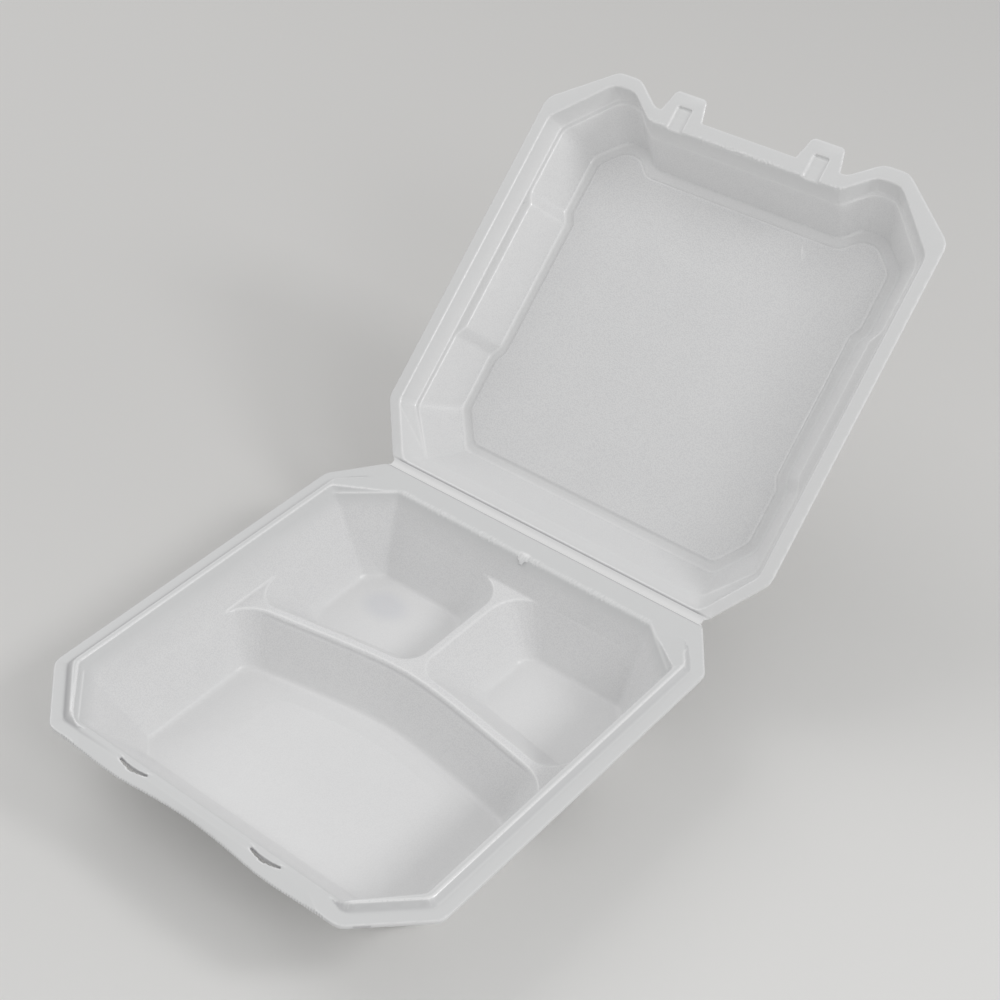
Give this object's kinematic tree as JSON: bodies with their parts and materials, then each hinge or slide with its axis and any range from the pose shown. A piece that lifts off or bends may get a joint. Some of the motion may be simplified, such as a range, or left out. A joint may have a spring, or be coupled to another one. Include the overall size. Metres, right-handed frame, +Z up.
{
  "type": "foam clamshell container",
  "caption": "Hinged-lid foam takeaway container, standing open, with divided compartments, a beaded rim and lock tabs on the lid.",
  "frame": {"origin": "middle of the tray's underside, on the plane it stands on", "axes": "+Z up, -Y towards the tray's front edge, +Y towards the hinge and the open lid, X along the hinge"},
  "size_m": [0.235, 0.4067, 0.2002],
  "materials": {
    "foam": "satin"
  },
  "bodies": {
    "tray": {"tray": "foam"},
    "lid": {"lid": "foam"}
  },
  "joints": [
    {"name": "lid_hinge", "type": "hinge", "parent": "tray", "child": "lid", "pos_m": [0, 0.1165, 0.0459], "axis": [1, 0, 0], "range_deg": [-42, 137]}
  ]
}
